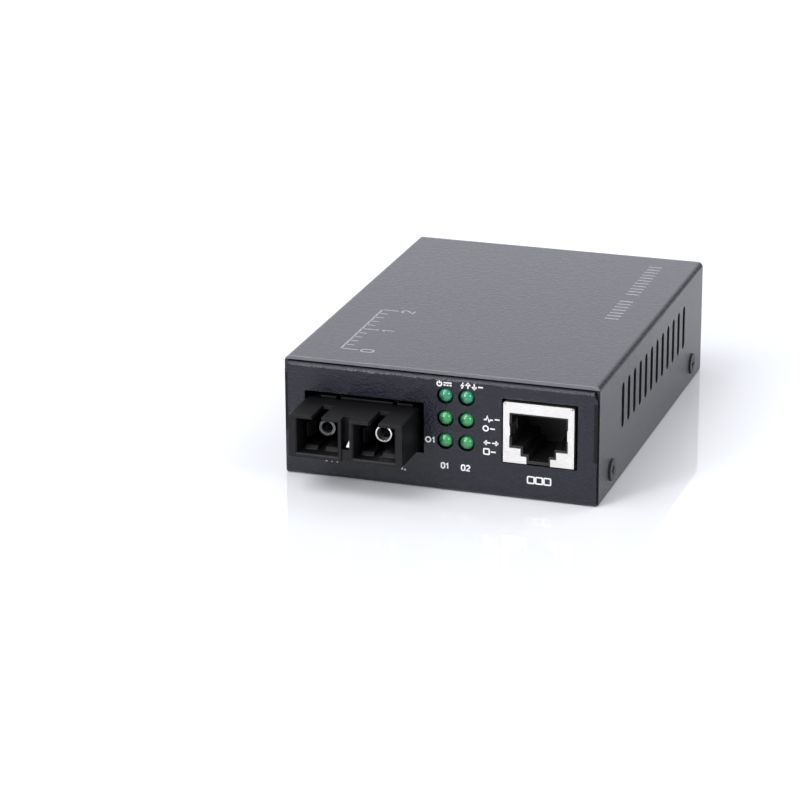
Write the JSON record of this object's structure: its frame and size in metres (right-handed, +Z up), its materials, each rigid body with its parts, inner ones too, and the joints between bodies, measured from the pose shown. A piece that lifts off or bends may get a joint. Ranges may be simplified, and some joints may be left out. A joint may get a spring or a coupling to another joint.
{
  "type": "fibre media converter",
  "caption": "Small folded-steel network box with a shielded copper-network socket, a duplex fibre port, a field of round lamps, slotted sides and a rear power inlet.",
  "frame": {"origin": "centre of the tray's underside, on the surface that the case stands on", "axes": "+X to the right along the front panel, +Y from the front panel to the rear panel, +Z up"},
  "size_m": [0.0706, 0.1054, 0.0265],
  "materials": {
    "case_paint": "fine textured black powder coat, satin",
    "black_screws": "black oxide, satin",
    "post_brass": "plain turned",
    "board_laminate": "green solder mask",
    "zinc_screws": "bright zinc",
    "shield_nickel": "bright nickel plate",
    "socket_plastic": "moulded, dull",
    "contact_gold": "gold flash",
    "stand_plastic": "moulded, dull",
    "tinned_leads": "tinned",
    "port_plastic": "moulded, fine matt",
    "clip_steel": "bright spring steel",
    "latch_plastic": "moulded, dull",
    "sleeve_metal": "turned, bright",
    "sleeve_resin": "smoky clear resin, gloss",
    "liner_ceramic": "ground, semi-gloss",
    "inlet_plastic": "moulded, dull",
    "inlet_metal": "nickel plate",
    "chip_resin": "moulded epoxy, dull",
    "crystal_metal": "satin",
    "choke_ferrite": "sintered, dull",
    "can_aluminium": "satin",
    "resistor_ceramic": "glazed",
    "capacitor_ceramic": "sintered",
    "lamp_teal": "tinted clear resin, gloss",
    "lamp_green": "tinted clear resin, gloss"
  },
  "bodies": {
    "root": {"tray": "case_paint", "cover": "case_paint", "cover_screws": "black_screws", "standoffs": "post_brass", "board": "board_laminate", "board_screws": "zinc_screws", "jack_shield": "shield_nickel", "jack_insert": "socket_plastic", "jack_contacts": "contact_gold", "lamp_stand_left": "stand_plastic", "lamp_stand_right": "stand_plastic", "lamp_leads": "tinned_leads", "receptacle": "port_plastic", "receptacle_clip": "clip_steel", "port_latch_left": "latch_plastic", "port_latch_right": "latch_plastic", "sleeve_left": "sleeve_resin", "sleeve_right": "sleeve_metal", "liner": "liner_ceramic", "transceiver_case": "port_plastic", "transceiver_pins": "tinned_leads", "power_inlet_body": "inlet_plastic", "power_inlet_pin": "inlet_metal", "power_inlet_spring": "inlet_metal", "main_chip": "chip_resin", "magnetics": "chip_resin", "magnetics_leads": "tinned_leads", "memory_chip": "chip_resin", "memory_chip_leads": "tinned_leads", "regulator": "chip_resin", "regulator_leads": "tinned_leads", "crystal": "crystal_metal", "inductor": "choke_ferrite", "capacitor_cans": "can_aluminium", "capacitor_bases": "socket_plastic", "chip_resistors": "resistor_ceramic", "chip_capacitors": "capacitor_ceramic", "lamp_left_top": "lamp_teal", "lamp_left_middle": "lamp_green", "lamp_left_bottom": "lamp_green", "lamp_right_top": "lamp_teal", "lamp_right_middle": "lamp_green", "lamp_right_bottom": "lamp_green"}
  },
  "joints": []
}
